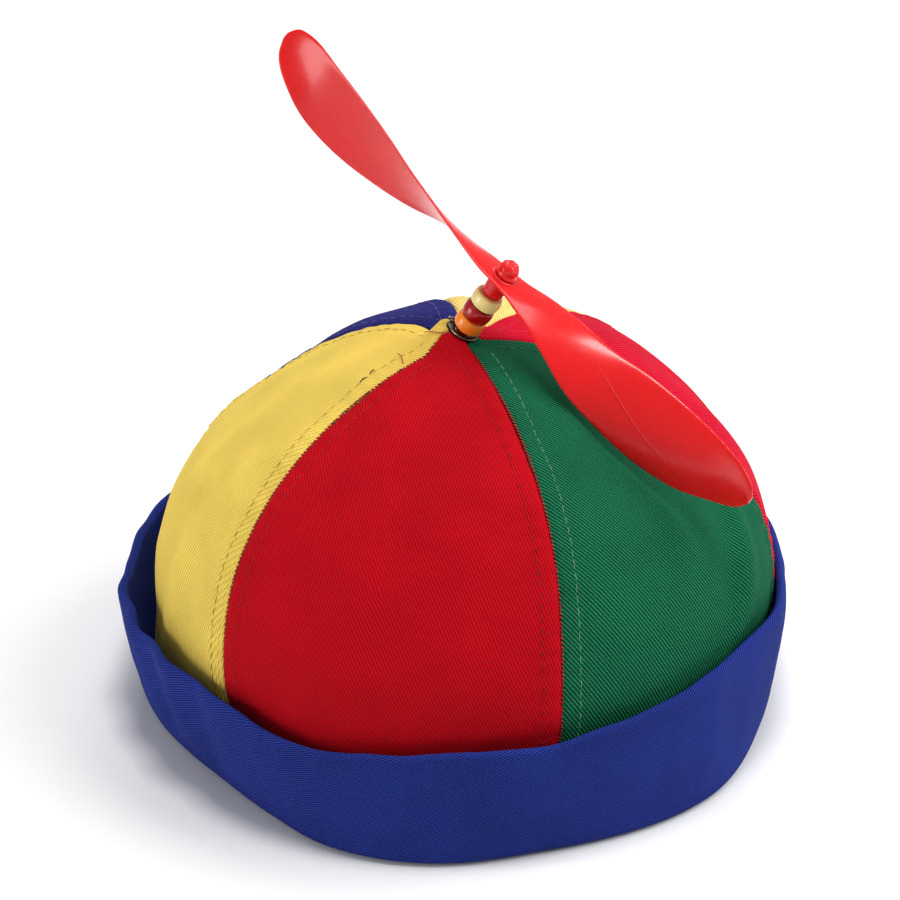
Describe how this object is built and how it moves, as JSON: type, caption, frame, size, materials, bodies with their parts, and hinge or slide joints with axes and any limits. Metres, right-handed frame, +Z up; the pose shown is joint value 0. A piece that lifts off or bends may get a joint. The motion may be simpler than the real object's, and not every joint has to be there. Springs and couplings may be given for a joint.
{
  "type": "propeller beanie",
  "caption": "Soft domed cloth cap sewn from coloured gores with a turned-up cuff, and a twisted two-blade propeller that spins on a short leaning post at its crown",
  "frame": {"origin": "middle of the bounding box, on the floor plane that the cuff's bottom fold rests on", "axes": "+Z up out of the crown, -Y the front of the cap (red gore), +X the side that the post leans to"},
  "size_m": [0.166, 0.1732, 0.1622],
  "materials": {
    "cloth_red": "matte cotton twill",
    "cloth_red_bright": "matte cotton twill",
    "cloth_green": "matte cotton twill",
    "cloth_yellow": "matte cotton twill",
    "cloth_yellow_pale": "matte cotton twill",
    "cloth_navy": "matte cotton twill",
    "cloth_blue": "matte cotton twill",
    "eyelet_metal": "satin",
    "wire": "bright drawn wire",
    "plastic_red": "glossy moulded",
    "knob_red": "glossy moulded",
    "bead_orange": "glossy",
    "bead_dark_red": "glossy",
    "bead_cream": "glossy"
  },
  "bodies": {
    "cap": {"panel_red_front": "cloth_red", "panel_green": "cloth_green", "panel_red_right": "cloth_red_bright", "panel_yellow_back": "cloth_yellow_pale", "panel_blue": "cloth_navy", "panel_yellow_left": "cloth_yellow", "cuff": "cloth_blue", "eyelet": "eyelet_metal", "foot_coil": "wire", "axle": "knob_red", "bead_orange": "bead_orange", "bead_red": "bead_dark_red", "bead_cream": "bead_cream"},
    "propeller": {"propeller": "plastic_red"}
  },
  "joints": [
    {"name": "propeller_spin", "type": "hinge", "parent": "cap", "child": "propeller", "pos_m": [0.01384, -0.00382, 0.11354], "axis": [0.5319, -0.1677, 0.83], "continuous": true}
  ]
}
